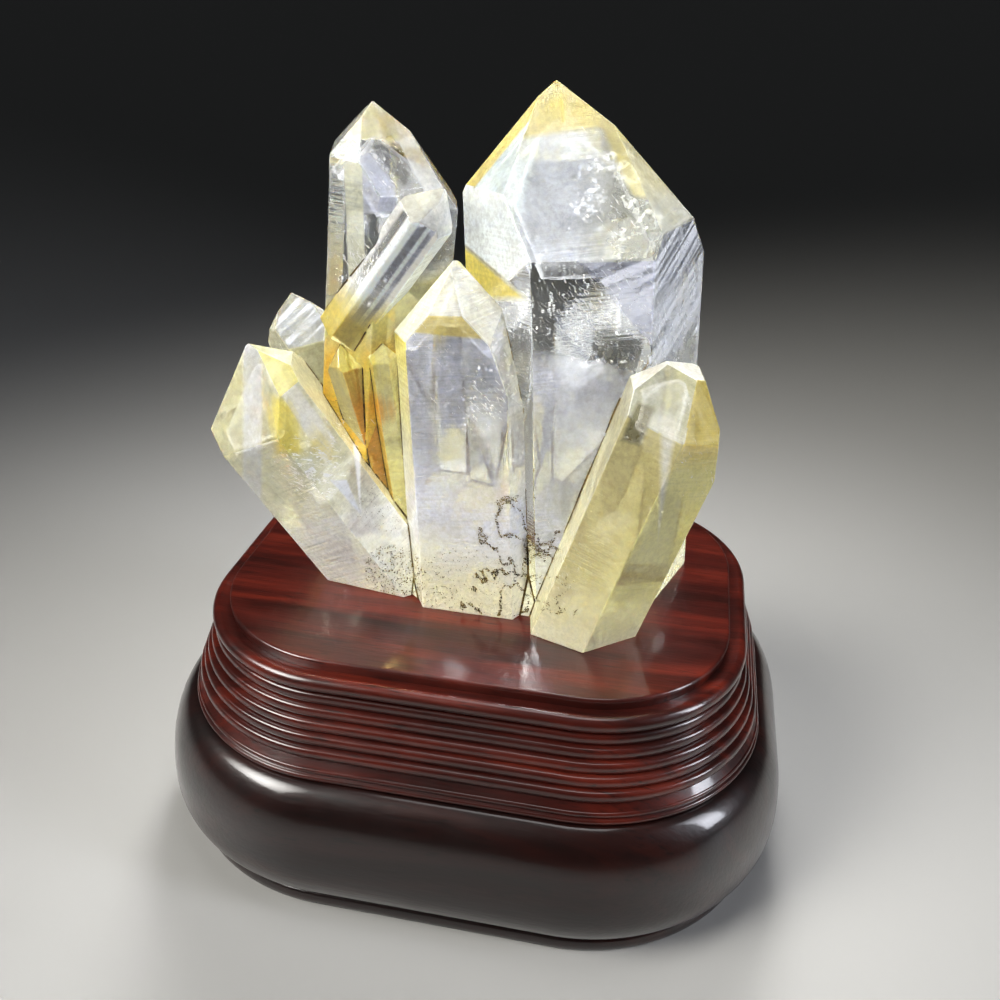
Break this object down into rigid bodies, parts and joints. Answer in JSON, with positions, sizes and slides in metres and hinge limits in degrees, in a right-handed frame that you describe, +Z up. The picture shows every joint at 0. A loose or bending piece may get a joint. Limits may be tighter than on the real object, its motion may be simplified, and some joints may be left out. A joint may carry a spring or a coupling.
{
  "type": "quartz cluster on a stand",
  "caption": "Cluster of clear to yellow-stained quartz crystals with pointed ends, resting on a moulded, lacquered wooden display stand.",
  "frame": {"origin": "centre of the whole object's plan, at the underside of the stand", "axes": "+X along the stand's long side to the viewer's right, +Y to the back, +Z up to the crystal points"},
  "size_m": [0.1424, 0.1172, 0.16],
  "materials": {
    "clear_quartz": "natural crystal faces, clear to milky, with yellow iron stain and fine growth lines",
    "lacquered_rosewood": "dark red-brown wood under glossy lacquer",
    "dark_lacquered_rosewood": "nearly black red-brown wood under glossy lacquer"
  },
  "bodies": {
    "root": {"quartz_cluster": "clear_quartz", "stand_top": "lacquered_rosewood", "stand_base": "dark_lacquered_rosewood"}
  },
  "joints": []
}
